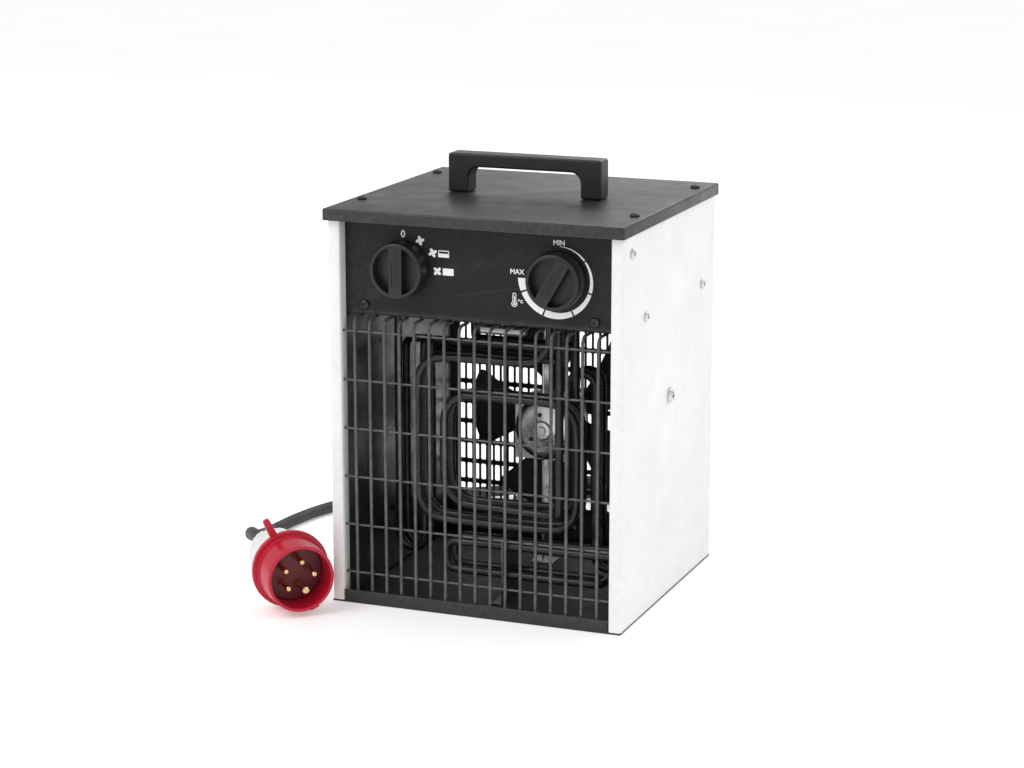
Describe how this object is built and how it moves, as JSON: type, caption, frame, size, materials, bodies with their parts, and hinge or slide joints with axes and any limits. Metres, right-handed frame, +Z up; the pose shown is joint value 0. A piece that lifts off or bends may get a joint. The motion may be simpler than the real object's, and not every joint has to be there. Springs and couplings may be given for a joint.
{
  "type": "electric fan heater",
  "caption": "Portable industrial electric fan heater: white sheet-steel box, black lid with carry handle, wire front guard, tubular elements, rotary controls and red industrial plug.",
  "frame": {"origin": "on the floor, under the middle of the lid in plan", "axes": "+Z up, -Y out of the front guard, +X to the right seen from the front"},
  "size_m": [0.4343, 0.5089, 0.4031],
  "materials": {
    "white_paint": "powder coat, fine orange peel, satin",
    "black_paint": "charcoal powder coat, satin",
    "panel_black": "black paint, satin, with white printed marks",
    "galvanised": "galvanised sheet, dull",
    "guard_wire": "dark grey coated wire, semi-gloss",
    "element_steel": "heat-darkened sheath",
    "bright_steel": "zinc plated",
    "aluminium": "cast, bright",
    "fan_black": "black paint, matte",
    "black_plastic": "moulded, fine texture",
    "dark_screw": "blackened",
    "white_screw": "zinc plated",
    "switch_plastic": "moulded",
    "block_plastic": "moulded, ivory",
    "nickel": "nickel plated, satin",
    "cord_rubber": "extruded rubber sheath, dull",
    "plug_red": "moulded, glossy",
    "plug_grey": "moulded, satin",
    "brass": "turned brass pins"
  },
  "bodies": {
    "case": {"left_side_panel": "white_paint", "right_side_panel": "white_paint", "base_tray": "black_paint", "top_cover": "black_paint", "rear_panel": "black_paint", "compartment_floor": "black_paint", "control_panel": "panel_black", "element_support": "galvanised", "left_heat_shield": "galvanised", "right_heat_shield": "galvanised", "front_guard": "guard_wire", "heating_element_front": "element_steel", "heating_element_rear": "element_steel", "heating_element_left": "element_steel", "heating_element_right": "element_steel", "heating_element_lower": "element_steel", "motor_bracket": "bright_steel", "side_bolt_left": "bright_steel", "side_bolt_right": "bright_steel", "motor_housing": "aluminium", "motor_end_shield": "aluminium", "handle": "black_plastic", "cable_gland": "black_plastic", "lid_screw_front_left": "dark_screw", "lid_screw_rear_left": "dark_screw", "lid_screw_front_right": "dark_screw", "lid_screw_rear_right": "dark_screw", "panel_screw_left": "dark_screw", "panel_screw_right": "dark_screw", "rear_screw_left": "dark_screw", "rear_screw_right": "dark_screw", "handle_screw_left": "dark_screw", "handle_screw_right": "dark_screw", "side_screw_upper_left": "white_screw", "side_screw_middle_front_left": "white_screw", "side_screw_middle_rear_left": "white_screw", "side_screw_upper_right": "white_screw", "side_screw_middle_front_right": "white_screw", "side_screw_middle_rear_right": "white_screw", "mode_switch_body": "switch_plastic", "thermostat_body": "switch_plastic", "safety_cutout": "switch_plastic", "terminal_block": "block_plastic", "thermostat_bulb": "nickel", "strain_relief": "cord_rubber", "cord_exit_run": "cord_rubber", "cord_coil": "cord_rubber", "cord_plug_run": "cord_rubber", "plug_shroud": "plug_red", "plug_pin_carrier": "plug_red", "plug_housing": "plug_grey", "plug_gland_nut": "plug_grey", "plug_contacts": "brass"},
    "mode_control": {"mode_knob": "black_plastic", "mode_switch_shaft": "bright_steel"},
    "thermostat_control": {"thermostat_knob": "black_plastic", "thermostat_shaft": "bright_steel"},
    "rotor": {"motor_rotor": "bright_steel", "fan_impeller": "fan_black", "fan_nut": "bright_steel"}
  },
  "joints": [
    {"name": "mode_select", "type": "hinge", "parent": "case", "child": "mode_control", "pos_m": [-0.0725, -0.1186, 0.3138], "axis": [0, 1, 0], "range_deg": [0, 90]},
    {"name": "thermostat_set", "type": "hinge", "parent": "case", "child": "thermostat_control", "pos_m": [0.0757, -0.1186, 0.3138], "axis": [0, 1, 0], "range_deg": [-30, 245]},
    {"name": "fan_spin", "type": "hinge", "parent": "case", "child": "rotor", "pos_m": [0, 0.1, 0.134], "axis": [0, 1, 0], "continuous": true}
  ]
}
